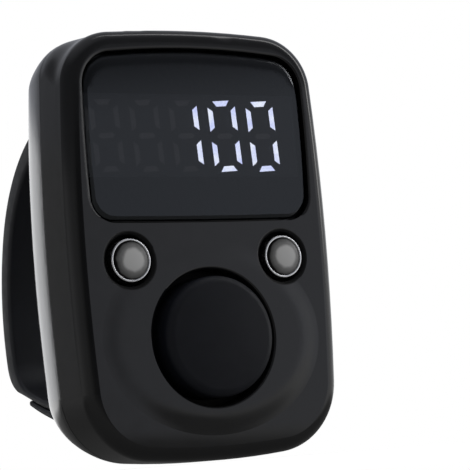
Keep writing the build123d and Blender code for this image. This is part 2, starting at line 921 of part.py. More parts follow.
def seat(y, rise):
    """Point above the curve along which the tail lies on the tab, at a distance behind the case."""
    return (y, seat_centre - sqrt(seat_radius**2 - y**2) + rise)


def seat_plane(y, rise):
    """Plane that lies along the seat, looking away from the finger."""
    point = seat(y, rise)
    return Plane(origin=(0, *point), x_dir=(1, 0, 0), z_dir=(0, y, seat(y, 0)[1] - seat_centre))


def share_point(shares):
    return (strap_reach * shares[0], root_outer * shares[1])


outer_edges = []
with BuildPart() as finger_strap:
    with BuildSketch(Plane.YZ):
        with BuildLine():
            top_arc = TangentArc((0, root_outer), share_point(shoulder_shares), tangent=(1, 0))
            back_arc = TangentArc(top_arc @ 1, share_point(rear_shares), tangent=top_arc % 1)
            low_arc = TangentArc(back_arc @ 1, share_point(low_shares), tangent=back_arc % 1)
            corner_arc = TangentArc(low_arc @ 1, share_point(corner_shares), tangent=low_arc % 1)
            tail_low = Line(corner_arc @ 1, seat(tail_start, layer_gap))
            tail_middle = (tail_start + tail_end) / 2
            ThreePointArc(tail_low @ 1, seat(tail_middle, layer_gap), seat(tail_end, layer_gap))
            tail_rise = layer_gap + tail_thickness
            Line(seat(tail_end, layer_gap), seat(tail_end, tail_rise))
            tail_top = ThreePointArc(
                seat(tail_end, tail_rise), seat(tail_middle, tail_rise), seat(tail_start, tail_rise)
            )
            TangentArc(tail_top @ 1, inside(low_arc, 1, strap_thickness), tangent=tail_top % 1)
            offset_arc(low_arc, strap_thickness)
            offset_arc(back_arc, strap_thickness)
            offset_arc(top_arc, strap_thickness)
            Polyline(
                (0, root_inner),
                (-back_wall - slot_clearance, root_inner),
                (-back_wall - slot_clearance, root_outer - bead_height),
                (-back_wall - slot_clearance - bead_thickness, root_outer - bead_height),
                (-back_wall - slot_clearance - bead_thickness, root_outer),
                (0, root_outer),
            )
        make_face()
    extrude(amount=strap_width / 2, both=True)
    # Both long outer edges, which run on from arc to arc
    for side in (-1, 1):
        for arc in (top_arc, back_arc, low_arc):
            middle = arc @ 0.5
            spot = (side * strap_width / 2, middle.X, middle.Y)
            outer_edges.append(finger_strap.edges().sort_by_distance(spot)[0])
    fillet(outer_edges, strap_edge_radius)
    # Stud under the tail, with its head below the tab
    with BuildSketch(seat_plane(stud_y, layer_gap + tail_thickness / 2)):
        Circle(stud_radius)
    extrude(amount=tail_thickness / 2 + layer_gap + tab_thickness + layer_gap)
    with BuildSketch(seat_plane(stud_y, -tab_thickness - layer_gap)):
        Circle(stud_head_radius)
    extrude(amount=stud_head_thickness)
finish(finger_strap, "finger_strap")

tab_middle = (tab_reach + tab_shoulder) / 2
with BuildPart() as strap_tab:
    with BuildSketch(Plane.YZ):
        with BuildLine():
            upper = ThreePointArc(seat(tab_shoulder, 0), seat(tab_middle, 0), seat(tab_reach, 0))
            tip = Line(upper @ 1, seat(tab_reach, -tab_tip_thickness))
            taper = ThreePointArc(
                tip @ 1,
                seat(tab_reach - tab_tip_length / 2, -(tab_thickness + tab_tip_thickness) / 2),
                seat(tab_reach - tab_tip_length, -tab_thickness),
            )
            lower = ThreePointArc(
                taper @ 1,
                seat((tab_reach - tab_tip_length) / 2, -tab_thickness),
                seat(0, -tab_thickness),
            )
            Polyline(
                lower @ 1,
                (-back_wall - slot_clearance - bead_thickness, -root_outer),
                (-back_wall - slot_clearance - bead_thickness, -root_outer + bead_height),
                (-back_wall - slot_clearance, -root_outer + bead_height),
                (-back_wall - slot_clearance, -root_inner),
                (tab_shoulder / 3, -root_inner),
                upper @ 0,
            )
        make_face()
    extrude(amount=strap_width / 2, both=True)
    # Holes that the stud can button through, square to the tab
    for step in range(hole_count):
        with BuildSketch(seat_plane(stud_y + step * hole_pitch, cut_overrun)):
            Circle(stud_radius + hole_clearance)
        extrude(amount=tab_thickness + 2 * cut_overrun, mode=Mode.SUBTRACT)
finish(strap_tab, "strap_tab")
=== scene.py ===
import bmesh
import bpy
from math import atan2, cos, pi, radians, sin, sqrt
from mathutils import Matrix, Vector


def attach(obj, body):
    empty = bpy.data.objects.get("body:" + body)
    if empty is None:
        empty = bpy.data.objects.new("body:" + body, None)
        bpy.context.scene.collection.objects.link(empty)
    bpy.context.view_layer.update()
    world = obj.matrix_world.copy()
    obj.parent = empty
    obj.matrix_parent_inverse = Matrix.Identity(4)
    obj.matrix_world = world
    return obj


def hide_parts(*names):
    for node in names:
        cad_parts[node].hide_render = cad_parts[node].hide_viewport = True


# Looks of a finger-worn tally counter: smoked window with lit digits, moulded black case,
# soft matt count button, two ringed clear buttons and a silicone finger strap.
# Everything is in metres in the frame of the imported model: X right, Z up, Y to the back.

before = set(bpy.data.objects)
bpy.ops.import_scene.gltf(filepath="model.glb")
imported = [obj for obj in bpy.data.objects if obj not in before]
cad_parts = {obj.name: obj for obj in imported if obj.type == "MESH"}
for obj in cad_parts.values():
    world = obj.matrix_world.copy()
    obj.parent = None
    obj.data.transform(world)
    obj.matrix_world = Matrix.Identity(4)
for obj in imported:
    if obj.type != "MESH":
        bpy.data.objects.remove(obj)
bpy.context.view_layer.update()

MM = 0.001
WHITE = (1, 1, 1, 1)


# Materials: shared steps

NOISE_DETAIL = 2.0
GRAIN_DETAIL = 3.0
NOISE_LOW = 0.3
NOISE_HIGH = 0.7
BEVEL_SAMPLES = 8
# A Mix node's vector sockets share their names with other kinds, so they are found by place
VECTOR_A = 4
VECTOR_B = 5
VECTOR_RESULT = 1


def start_material(name, colour, roughness, ior=1.5):
    """New node material whose plain values sit on the shader's own sockets."""
    material = bpy.data.materials.new(name)
    material.use_nodes = True
    tree = material.node_tree
    shader = tree.nodes["Principled BSDF"]
    shader.inputs["Base Color"].default_value = (*colour, 1)
    shader.inputs["Roughness"].default_value = roughness
    shader.inputs["IOR"].default_value = ior
    return material, tree, shader


def calculate(tree, operation, first, second=None):
    """One sum in a material, of node outputs or plain numbers."""
    node = tree.nodes.new("ShaderNodeMath")
    node.operation = operation
    for socket, value in zip(node.inputs, (first, second)):
        if isinstance(value, bpy.types.NodeSocket):
            tree.links.new(value, socket)
        elif value is not None:
            socket.default_value = value
    return node.outputs["Value"]


def plus(tree, first, second):
    return calculate(tree, "ADD", first, second)


def minus(tree, first, second):
    return calculate(tree, "SUBTRACT", first, second)


def times(tree, first, second):
    return calculate(tree, "MULTIPLY", first, second)


def distance(tree, across, along):
    """Length of the line that goes a part across and a part along."""
    squares = plus(tree, times(tree, across, across), times(tree, along, along))
    return calculate(tree, "SQRT", squares)


def place_parts(tree, kind="Object"):
    """X, Y and Z outputs of a place, by default in metres in the frame of the model."""
    place = tree.nodes.new("ShaderNodeTexCoord")
    parts = tree.nodes.new("ShaderNodeSeparateXYZ")
    tree.links.new(place.outputs[kind], parts.inputs["Vector"])
    return parts.outputs


def radius_about(tree, place, centre_x, centre_z):
    """Distance in metres from an axis that runs from back to front."""
    return distance(tree, minus(tree, place["X"], centre_x), minus(tree, place["Z"], centre_z))


def noise(tree, scale, detail=NOISE_DETAIL):
    """Noise in object space, with its features a given number to the metre."""
    place = tree.nodes.new("ShaderNodeTexCoord")
    texture = tree.nodes.new("ShaderNodeTexNoise")
    texture.inputs["Scale"].default_value = scale
    texture.inputs["Detail"].default_value = detail
    tree.links.new(place.outputs["Object"], texture.inputs["Vector"])
    return texture.outputs["Fac"]


def spread(tree, value, low, high, start=NOISE_LOW, end=NOISE_HIGH):
    """Runs from low to high as a value goes from start to end, by default the range of noise."""
    ranged = tree.nodes.new("ShaderNodeMapRange")
    ranged.inputs["From Min"].default_value = start
    ranged.inputs["From Max"].default_value = end
    ranged.inputs["To Min"].default_value = low
    ranged.inputs["To Max"].default_value = high
    tree.links.new(value, ranged.inputs["Value"])
    return ranged.outputs["Result"]


def blend(tree, share, first, second):
    """Colour between two others, each of which is an output or plain."""
    mix = tree.nodes.new("ShaderNodeMix")
    mix.data_type = "RGBA"
    for name, value in (("Factor", share), ("A", first), ("B", second)):
        if isinstance(value, bpy.types.NodeSocket):
            tree.links.new(value, mix.inputs[name])
        else:
            mix.inputs[name].default_value = value
    return mix.outputs["Result"]


def mottle(tree, scale, dark, light):
    """Colour that wanders between two plain ones."""
    return blend(tree, spread(tree, noise(tree, scale), 0, 1), (*dark, 1), (*light, 1))


def ramp(tree, value, stops, tint=(1, 1, 1)):
    """Eased ramp from (position, level) pairs, each level times a tint."""
    node = tree.nodes.new("ShaderNodeValToRGB")
    node.color_ramp.interpolation = "EASE"
    elements = node.color_ramp.elements
    while len(elements) > 1:
        elements.remove(elements[-1])
    for index, (position, level) in enumerate(stops):
        element = elements[0] if index == 0 else elements.new(position)
        element.position = position
        element.color = (level * tint[0], level * tint[1], level * tint[2], 1)
    tree.links.new(value, node.inputs["Fac"])
    return node.outputs["Color"]


def vary_roughness(tree, shader, scale, low, high):
    """Uneven polish between two roughnesses."""
    tree.links.new(spread(tree, noise(tree, scale), low, high), shader.inputs["Roughness"])


def vary_colour(tree, shader, scale, dark, light):
    """Uneven base colour between two plain ones."""
    tree.links.new(mottle(tree, scale, dark, light), shader.inputs["Base Color"])


def add_bump(tree, shader, height, depth):
    """Bump from a height of 0 to 1, with its depth in metres."""
    bump = tree.nodes.new("ShaderNodeBump")
    bump.inputs["Distance"].default_value = depth
    tree.links.new(height, bump.inputs["Height"])
    tree.links.new(bump.outputs["Normal"], shader.inputs["Normal"])


def add_grain(tree, shader, scale, depth):
    """Fine moulded grain."""
    add_bump(tree, shader, noise(tree, scale, GRAIN_DETAIL), depth)


def softened_normal(tree, radius, share):
    """Normal that rounds edges by a radius where the share is 1."""
    plain = tree.nodes.new("ShaderNodeNewGeometry")
    rounded = tree.nodes.new("ShaderNodeBevel")
    rounded.samples = BEVEL_SAMPLES
    rounded.inputs["Radius"].default_value = radius
    mixed = tree.nodes.new("ShaderNodeMix")
    mixed.data_type = "VECTOR"
    tree.links.new(share, mixed.inputs["Factor"])
    tree.links.new(plain.outputs["Normal"], mixed.inputs[VECTOR_A])
    tree.links.new(rounded.outputs["Normal"], mixed.inputs[VECTOR_B])
    return mixed.outputs[VECTOR_RESULT]


# Materials: the case
# Each pair of places is where the edge of a mask begins and ends

SMALL_X = 8.47 * MM
SMALL_Z = -1.64 * MM
COUNT_Z = -9.33 * MM
SMALL_WELL_EDGE = (2.72 * MM, 2.88 * MM)
LARGE_WELL_EDGE = (6.64 * MM, 6.72 * MM)
LARGE_WELL_FRONT = (-13.8 * MM, -13.6 * MM)
# Specular level in the wells, lowered as painted shade
WELL_SHADE_SPECULAR = 0.13
WELL_ROUGHNESS = 0.45
CASE_SPECULAR = 0.5
CASE_ROUGHNESS = (0.12, 0.15)
CASE_ROUGHNESS_SCALE = 900
RIM_SOFTNESS = 0.4 * MM
RIM_SIDE = (12.5 * MM, 12.7 * MM)
RIM_FOOT = (2.4 * MM, 2.8 * MM)
PEDESTAL_HALF_WIDTH = 12.35 * MM
PEDESTAL_HALF_HEIGHT = 9.88 * MM
# The flank's inner and outer edge, in shares of the pedestal's half sizes
FLANK_INNER = (0.70, 0.74)
FLANK_OUTER = (1.0, 1.03)
LEFT_EASE = 0.8
UPPER_EASE = 0.85
# The lower flank is eased more at the left than at the middle
LOWER_EASE = (0.85, 0.25)
LOWER_EASE_SPAN = (-9 * MM, -2 * MM)
FOOT_ROLL = 0.040
FOOT_ROLL_SPAN = (-19.9 * MM, -17.8 * MM)


def case_plastic(name):
    """Black plastic whose gloss the two housings set themselves."""
    material, tree, shader = start_material(name, (0.003, 0.003, 0.0032), 0.13)
    vary_colour(tree, shader, scale=350, dark=(0.0026, 0.0026, 0.0028), light=(0.0036, 0.0036, 0.0039))
    return material, tree, shader


def rim_share(tree, place):
    """One round the window."""
    beside = spread(tree, calculate(tree, "ABSOLUTE", place["X"]), 1, 0, *RIM_SIDE)
    above = spread(tree, place["Z"], 0, 1, *RIM_FOOT)
    return times(tree, beside, above)


def flank_share(tree, place):
    """One on the flank of the pedestal round the count button."""
    across = calculate(tree, "DIVIDE", place["X"], PEDESTAL_HALF_WIDTH)
    along = calculate(tree, "DIVIDE", minus(tree, place["Z"], COUNT_Z), PEDESTAL_HALF_HEIGHT)
    reach = distance(tree, across, along)
    return times(tree, spread(tree, reach, 0, 1, *FLANK_INNER), spread(tree, reach, 1, 0, *FLANK_OUTER))


def turned_normal(tree, place):
    """Normal that rounds the window's rim, eases the pedestal's flank and rolls the lower front edge."""
    normal = tree.nodes.new("ShaderNodeSeparateXYZ")
    softened = softened_normal(tree, RIM_SOFTNESS, rim_share(tree, place))
    tree.links.new(softened, normal.inputs["Vector"])
    tilt_x = normal.outputs["X"]
    tilt_z = normal.outputs["Z"]
    flank = flank_share(tree, place)
    lower_ease = spread(tree, place["X"], *LOWER_EASE, *LOWER_EASE_SPAN)
    left = times(tree, calculate(tree, "MINIMUM", tilt_x, 0), times(tree, flank, LEFT_EASE))
    upper = times(tree, calculate(tree, "MAXIMUM", tilt_z, 0), times(tree, flank, UPPER_EASE))
    lower = times(tree, calculate(tree, "MINIMUM", tilt_z, 0), times(tree, flank, lower_ease))
    roll = spread(tree, place["Z"], FOOT_ROLL, 0, *FOOT_ROLL_SPAN)
    bent = tree.nodes.new("ShaderNodeCombineXYZ")
    tree.links.new(minus(tree, tilt_x, left), bent.inputs["X"])
    tree.links.new(normal.outputs["Y"], bent.inputs["Y"])
    tree.links.new(minus(tree, tilt_z, plus(tree, plus(tree, upper, lower), roll)), bent.inputs["Z"])
    unit = tree.nodes.new("ShaderNodeVectorMath")
    unit.operation = "NORMALIZE"
    tree.links.new(bent.outputs["Vector"], unit.inputs[0])
    return unit.outputs["Vector"]


def nearer_small(tree, place):
    """X of the axis of the small button on the same side as a place."""
    return times(tree, calculate(tree, "SIGN", place["X"]), SMALL_X)


def front_plastic():
    """The case's plastic, with rougher wells round the three buttons, whose reflections are dimmed as
    painted shade.
    """
    material, tree, shader = case_plastic("front_plastic")
    place = place_parts(tree)
    tree.links.new(turned_normal(tree, place), shader.inputs["Normal"])
    large = spread(tree, radius_about(tree, place, 0, COUNT_Z), 1, 0, *LARGE_WELL_EDGE)
    sunk = spread(tree, place["Y"], 0, 1, *LARGE_WELL_FRONT)
    small_radius = radius_about(tree, place, nearer_small(tree, place), SMALL_Z)
    small = spread(tree, small_radius, 1, 0, *SMALL_WELL_EDGE)
    wells = calculate(tree, "MAXIMUM", times(tree, large, sunk), small)
    # Painted shade: reflections are dimmed inside the wells
    specular = spread(tree, wells, CASE_SPECULAR, WELL_SHADE_SPECULAR, 0, 1)
    tree.links.new(specular, shader.inputs["Specular IOR Level"])
    polish = spread(tree, noise(tree, CASE_ROUGHNESS_SCALE), *CASE_ROUGHNESS)
    tree.links.new(plus(tree, polish, times(tree, wells, WELL_ROUGHNESS)), shader.inputs["Roughness"])
    return material


def rear_plastic():
    material, tree, shader = case_plastic("rear_plastic")
    vary_roughness(tree, shader, CASE_ROUGHNESS_SCALE, *CASE_ROUGHNESS)
    return material


# Materials: buttons, strap and window

LENS_SOFTNESS = 1 * MM
LENS_FRONT = (-13.5 * MM, -13.3 * MM)
LENS_TOP = (15.0 * MM, 16.8 * MM)
CAP_RADIUS = 2 * MM
# The painted glow's middle sits a little to the right, so the painted shade at the left of the rim is wider
CAP_PAINTED_GLOW_SHIFT = 0.2 * MM
CAP_UNEVENNESS = 0.06 * MM
# Levels of the painted glow, from bright in the middle to painted shade at the rim
CAP_PAINTED_GLOW_STOPS = [(0.46, 0.35), (0.67, 0.115), (0.83, 0.06), (0.92, 0.004)]
# Reflections dimmed towards the rim as painted shade
CAP_RIM_SHADE_SPECULAR = (0.5, 0.03)
CAP_RIM = (1.65 * MM, 1.85 * MM)


def button_silicone():
    material, tree, shader = start_material("button_silicone", (0.0056, 0.0065, 0.0098), 0.5)
    shader.inputs["Specular IOR Level"].default_value = 0.2
    vary_roughness(tree, shader, scale=1500, low=0.46, high=0.54)
    vary_colour(tree, shader, scale=500, dark=(0.005, 0.0058, 0.0089), light=(0.0062, 0.0072, 0.0107))
    add_grain(tree, shader, scale=12000, depth=0.001 * MM)
    return material


def strap_silicone():
    material, tree, shader = start_material("strap_silicone", (0.0095, 0.0105, 0.0145), 0.48)
    vary_roughness(tree, shader, scale=1200, low=0.44, high=0.54)
    vary_colour(tree, shader, scale=260, dark=(0.008, 0.009, 0.0125), light=(0.0115, 0.0125, 0.0175))
    add_grain(tree, shader, scale=8000, depth=0.003 * MM)
    return material


def smoked_lens():
    """Dark clear plastic, whose bevel is softer along the top."""
    material, tree, shader = start_material("smoked_lens", (0.05, 0.052, 0.058), 0.02, 1.52)
    shader.inputs["Transmission Weight"].default_value = 1.0
    shader.inputs["Specular Tint"].default_value = (0.88, 0.935, 1.0, 1)
    vary_roughness(tree, shader, scale=400, low=0.015, high=0.03)
    place = place_parts(tree)
    front = spread(tree, place["Y"], 1, 0, *LENS_FRONT)
    high = spread(tree, place["Z"], 0, 1, *LENS_TOP)
    softened = softened_normal(tree, LENS_SOFTNESS, times(tree, front, high))
    tree.links.new(softened, shader.inputs["Normal"])
    return material


def ring_steel():
    material, tree, shader = start_material("ring_steel", (0.82, 0.82, 0.83), 0.22)
    shader.inputs["Metallic"].default_value = 1.0
    vary_roughness(tree, shader, scale=3000, low=0.16, high=0.3)
    add_grain(tree, shader, scale=14000, depth=0.0008 * MM)
    return material


def clear_cap():
    """Frosted translucent button cap, with a painted glow over the middle and painted shade towards its rim,
    wider at the left.
    """
    material, tree, shader = start_material("clear_cap", (0.2, 0.2, 0.205), 0.35)
    vary_roughness(tree, shader, scale=2500, low=0.3, high=0.42)
    place = place_parts(tree)
    centre_x = plus(tree, nearer_small(tree, place), CAP_PAINTED_GLOW_SHIFT)
    reach = radius_about(tree, place, centre_x, SMALL_Z)
    stray = spread(tree, noise(tree, scale=1500), -CAP_UNEVENNESS, CAP_UNEVENNESS)
    share = spread(tree, plus(tree, reach, stray), 0, 1, 0, CAP_RADIUS)
    # Base colour: painted glow in the middle, painted shade towards the rim
    painted_glow = ramp(tree, share, CAP_PAINTED_GLOW_STOPS)
    tree.links.new(painted_glow, shader.inputs["Base Color"])
    # Painted shade: reflections are dimmed at the rim
    tree.links.new(spread(tree, reach, *CAP_RIM_SHADE_SPECULAR, *CAP_RIM), shader.inputs["Specular IOR Level"])
    return material


# Materials: display

def lit_bar():
    material, tree, shader = start_material("lit_bar", (0.8, 0.8, 0.85), 0.5)
    glow = mottle(tree, scale=700, dark=(0.66, 0.70, 1.0), light=(0.95, 0.97, 1.0))
    tree.links.new(glow, shader.inputs["Emission Color"])
    shader.inputs["Emission Strength"].default_value = 17.0
    return material


def dark_bar():
    """Unlit bar with a faint painted glow standing in for the light of the lit ones beside it."""
    material, tree, shader = start_material("dark_bar", (0.52, 0.47, 0.44), 0.55)
    # Painted glow: the unlit bar is no lamp
    shader.inputs["Emission Color"].default_value = (1.0, 0.93, 0.90, 1)
    shader.inputs["Emission Strength"].default_value = 0.12
    vary_colour(tree, shader, scale=900, dark=(0.40, 0.36, 0.34), light=(0.60, 0.55, 0.51))
    vary_roughness(tree, shader, scale=2000, low=0.5, high=0.62)
    return material


def display_black():
    material, tree, shader = start_material("display_black", (0.006, 0.006, 0.0065), 0.5)
    vary_colour(tree, shader, scale=800, dark=(0.005, 0.005, 0.0055), light=(0.008, 0.008, 0.0085))
    vary_roughness(tree, shader, scale=2500, low=0.45, high=0.58)
    return material


def adhesive_foam():
    material, tree, shader = start_material("adhesive_foam", (0.008, 0.008, 0.008), 0.85)
    vary_colour(tree, shader, scale=4000, dark=(0.005, 0.005, 0.005), light=(0.014, 0.014, 0.014))
    add_grain(tree, shader, scale=7000, depth=0.012 * MM)
    return material


def chip_phosphor():
    material, tree, shader = start_material("chip_phosphor", (0.75, 0.68, 0.30), 0.5)
    vary_colour(tree, shader, scale=6000, dark=(0.66, 0.58, 0.22), light=(0.82, 0.76, 0.40))
    add_grain(tree, shader, scale=12000, depth=0.006 * MM)
    return material


# Materials: boards and what stands on them

DULL_METAL_SHARE = 0.82


def board_mask(name, dark, light):
    """Solder mask over glass cloth: a woven bump and a few darker copper areas."""
    material, tree, shader = start_material(name, light, 0.35)
    vary_colour(tree, shader, scale=450, dark=dark, light=light)
    place = tree.nodes.new("ShaderNodeTexCoord")
    weave = tree.nodes.new("ShaderNodeTexWave")
    weave.inputs["Scale"].default_value = 900
    weave.inputs["Distortion"].default_value = 1.5
    tree.links.new(place.outputs["Object"], weave.inputs["Vector"])
    add_bump(tree, shader, weave.outputs["Fac"], depth=0.004 * MM)
    vary_roughness(tree, shader, scale=1200, low=0.3, high=0.42)
    return material


def chip_epoxy():
    material, tree, shader = start_material("chip_epoxy", (0.02, 0.02, 0.021), 0.55)
    vary_colour(tree, shader, scale=2500, dark=(0.015, 0.015, 0.016), light=(0.028, 0.028, 0.029))
    add_grain(tree, shader, scale=12000, depth=0.004 * MM)
    return material


def plain_metal(name, colour, low, high):
    """Plated or rolled metal with fine uneven polish."""
    material, tree, shader = start_material(name, colour, low)
    shader.inputs["Metallic"].default_value = 1.0
    darker = tuple(DULL_METAL_SHARE * value for value in colour)
    vary_colour(tree, shader, scale=1500, dark=darker, light=colour)
    vary_roughness(tree, shader, scale=4000, low=low, high=high)
    return material


def ceramic_body():
    material, tree, shader = start_material("ceramic_body", (0.34, 0.25, 0.17), 0.5)
    vary_colour(tree, shader, scale=3000, dark=(0.28, 0.20, 0.13), light=(0.42, 0.32, 0.22))
    add_grain(tree, shader, scale=9000, depth=0.003 * MM)
    return material


def moulded_nylon(name, dark, light):
    """Switch bases, plungers and the socket's tongue."""
    material, tree, shader = start_material(name, light, 0.5)
    vary_colour(tree, shader, scale=1200, dark=dark, light=light)
    vary_roughness(tree, shader, scale=2500, low=0.42, high=0.56)
    add_grain(tree, shader, scale=9000, depth=0.003 * MM)
    return material


def cell_pouch():
    """Aluminium laminate, slightly crumpled."""
    material, tree, shader = start_material("cell_pouch", (0.70, 0.70, 0.71), 0.35)
    shader.inputs["Metallic"].default_value = 0.85
    vary_colour(tree, shader, scale=500, dark=(0.62, 0.62, 0.63), light=(0.76, 0.76, 0.77))
    vary_roughness(tree, shader, scale=1500, low=0.28, high=0.45)
    add_grain(tree, shader, scale=420, depth=0.06 * MM)
    return material


def pad_foam():
    material, tree, shader = start_material("pad_foam", (0.10, 0.10, 0.105), 0.9)
    vary_colour(tree, shader, scale=5000, dark=(0.06, 0.06, 0.065), light=(0.15, 0.15, 0.155))
    add_grain(tree, shader, scale=5000, depth=0.03 * MM)
    return material


def wire_sleeve(name, dark, light):
    material, tree, shader = start_material(name, light, 0.42)
    vary_colour(tree, shader, scale=900, dark=dark, light=light)
    vary_roughness(tree, shader, scale=2500, low=0.36, high=0.5)
    return material


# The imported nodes' finishes

def dress(material, *nodes):
    """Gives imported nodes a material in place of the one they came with."""
    for node in nodes:
        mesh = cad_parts[node].data
        mesh.materials.clear()
        mesh.materials.append(material)


dress(front_plastic(), "front_housing")
dress(rear_plastic(), "rear_housing")
dress(button_silicone(), "count_button")
dress(smoked_lens(), "display_lens")
dress(ring_steel(), "left_button_ring", "right_button_ring")
dress(clear_cap(), "left_button_cap", "right_button_cap")
dress(lit_bar(), "display_bars_lit")
dress(dark_bar(), "display_bars_dark")
dress(display_black(), "display_reflector")
dress(adhesive_foam(), "lens_adhesive")
dress(chip_phosphor(), "display_chips")
dress(board_mask("display_board_mask", (0.55, 0.55, 0.53), (0.72, 0.72, 0.69)), "display_board")
dress(board_mask("main_board_mask", (0.006, 0.055, 0.022), (0.012, 0.12, 0.045)), "main_board")
dress(chip_epoxy(), "controller_chip", "charger_chip")
dress(plain_metal("tinned_lead", (0.74, 0.73, 0.71), 0.25, 0.4), "controller_leads")
dress(ceramic_body(), "passives")
dress(moulded_nylon("switch_base", (0.012, 0.012, 0.012), (0.024, 0.024, 0.024)),
      "count_switch", "left_switch", "right_switch")
dress(plain_metal("cover_steel", (0.60, 0.60, 0.59), 0.3, 0.45), "count_switch_cover")
dress(moulded_nylon("plunger_red", (0.26, 0.02, 0.015), (0.36, 0.035, 0.02)),
      "count_plunger", "left_plunger", "right_plunger")
dress(plain_metal("socket_steel", (0.66, 0.66, 0.65), 0.22, 0.34), "socket_shell")
dress(moulded_nylon("tongue_black", (0.010, 0.010, 0.010), (0.02, 0.02, 0.02)), "socket_tongue")
dress(plain_metal("contact_gold", (0.95, 0.66, 0.28), 0.2, 0.3), "socket_contacts")
dress(cell_pouch(), "cell")
dress(pad_foam(), "cell_pad")
dress(wire_sleeve("sleeve_red", (0.42, 0.012, 0.01), (0.60, 0.02, 0.015)), "cell_lead_plus")
dress(wire_sleeve("sleeve_black", (0.012, 0.012, 0.012), (0.03, 0.03, 0.03)), "cell_lead_minus")
dress(plain_metal("screw_black", (0.10, 0.10, 0.105), 0.3, 0.42), "case_screws")


# Strap: its line in the plane x = 0

STRAP_HALF_WIDTH = 7.0 * MM
STRAP_THICKNESS = 2.2 * MM
STRAP_REACH = 20.98 * MM
ROOT_Z = 15.6 * MM
ROOT_OUTER = ROOT_Z + STRAP_THICKNESS / 2
ROOT_INNER = ROOT_Z - STRAP_THICKNESS / 2
BEAD_Y = -3.02 * MM
NECK_Y = -1.62 * MM
BEAD_HEIGHT = 3.3 * MM
# Rows just before the neck, so that the bead's step stays sharp
BEAD_ROWS = (BEAD_Y, NECK_Y - 0.25 * MM, NECK_Y - 0.02 * MM)
ROOT_LEAVES_Y = -0.1 * MM
# Places on the loop's outer line, in shares of the reach and of the root's height
SHOULDER = (0.339, 0.946)
REAR = (0.910, 0.297)
LOW = (0.968, -0.567)
CORNER = (0.835, -0.742)
TOP_ROWS = 16
BACK_ROWS = 40
LOW_ROWS = 24
CORNER_ROWS = 10
FOOT_ROWS = 4
TAIL_ROWS = 24
TAIL_THICKNESS = 0.85 * MM
TAIL_LAP = 0.4 * MM
TAIL_END = 3.6 * MM
LAYER_GAP = 0.06 * MM
TAB_THICKNESS = 0.9 * MM
TAB_REACH_SHARE = 0.7055
TAB_REACH = STRAP_REACH * TAB_REACH_SHARE
TAB_RISE = 2.5 * MM
TAB_SHOULDER = 2.6 * MM
TAB_TIP_THICKNESS = 0.6 * MM
TAB_TIP_LENGTH = 6.0 * MM
TAB_ROWS = 40
TAIL_START = TAB_REACH + TAIL_LAP
# The seat is the arc along which the tail lies on the tab
SEAT_Z = -ROOT_OUTER + TAB_THICKNESS
SEAT_RADIUS = (TAB_REACH**2 + TAB_RISE**2) / (2 * TAB_RISE)
SEAT_CENTRE = SEAT_Z + SEAT_RADIUS


def at(share):
    """Point at a share of the reach and of the root's height."""
    return Vector((STRAP_REACH * share[0], ROOT_OUTER * share[1]))


def tangent_arc(start, tangent, end, count):
    """Points and directions along the arc that leaves start along tangent and reaches end."""
    chord = end - start
    normal = Vector((tangent.y, -tangent.x))
    radius = chord.length_squared / (2 * chord.dot(normal))
    centre = start + normal * radius
    turn = 2 * atan2(chord.dot(normal), chord.dot(tangent))
    points = []
    for step in range(count + 1):
        rotation = Matrix.Rotation(-turn * step / count, 2)
        points.append((centre + rotation @ (start - centre), rotation @ tangent))
    return points


def seat(y, rise):
    """Point at a rise above the curve along which the tail lies on the tab."""
    return Vector((y, SEAT_CENTRE - sqrt(SEAT_RADIUS**2 - y**2) + rise))


def inward(point, direction, depth):
    """Point at a depth to the right of the direction of travel, which is inside the loop."""
    return point + Vector((direction.y, -direction.x)) * depth


def root_stations(side, neck_rows):
    """Pairs of outer and inner points along a root: 1 for the upper one, -1 for the lower one."""
    stations = []
    for y in BEAD_ROWS:
        stations.append((Vector((y, side * ROOT_OUTER)), Vector((y, side * (ROOT_OUTER - BEAD_HEIGHT)))))
    for y in neck_rows:
        stations.append((Vector((y, side * ROOT_OUTER)), Vector((y, side * ROOT_INNER))))
    return stations


def corner_stations(outer_start, outer_direction, inner_start):
    """Pairs round the lower corner into the tail, whose inner side runs up to the band's."""
    corner = tangent_arc(outer_start, outer_direction, at(CORNER), CORNER_ROWS)
    outer = [point for point, _ in corner[1:]]
    foot = seat(TAIL_START, LAYER_GAP)
    outer += [outer[-1].lerp(foot, step / FOOT_ROWS) for step in range(1, FOOT_ROWS + 1)]
    inner_end = seat(TAIL_START, LAYER_GAP + TAIL_THICKNESS)
    heading = seat(TAIL_START, 0) - seat(TAIL_START - MM, 0)
    inner = tangent_arc(inner_end, heading.normalized(), inner_start, len(outer))[::-1]
    return [(near, far) for near, (far, _) in zip(outer, inner[1:])]


def band_stations():
    """Pairs of outer and inner points, from the bead in the upper slot to the end of the tail."""
    stations = root_stations(1, (NECK_Y, NECK_Y / 2, ROOT_LEAVES_Y))
    top = tangent_arc(Vector((0, ROOT_OUTER)), Vector((1, 0)), at(SHOULDER), TOP_ROWS)
    back = tangent_arc(*top[-1], at(REAR), BACK_ROWS)
    low = tangent_arc(*back[-1], at(LOW), LOW_ROWS)
    for point, direction in top[:-1] + back[:-1] + low:
        stations.append((point, inward(point, direction, STRAP_THICKNESS)))
    stations += corner_stations(*low[-1], stations[-1][1])
    for step in range(1, TAIL_ROWS + 1):
        y = TAIL_START + (TAIL_END - TAIL_START) * step / TAIL_ROWS
        stations.append((seat(y, LAYER_GAP), seat(y, LAYER_GAP + TAIL_THICKNESS)))
    return stations


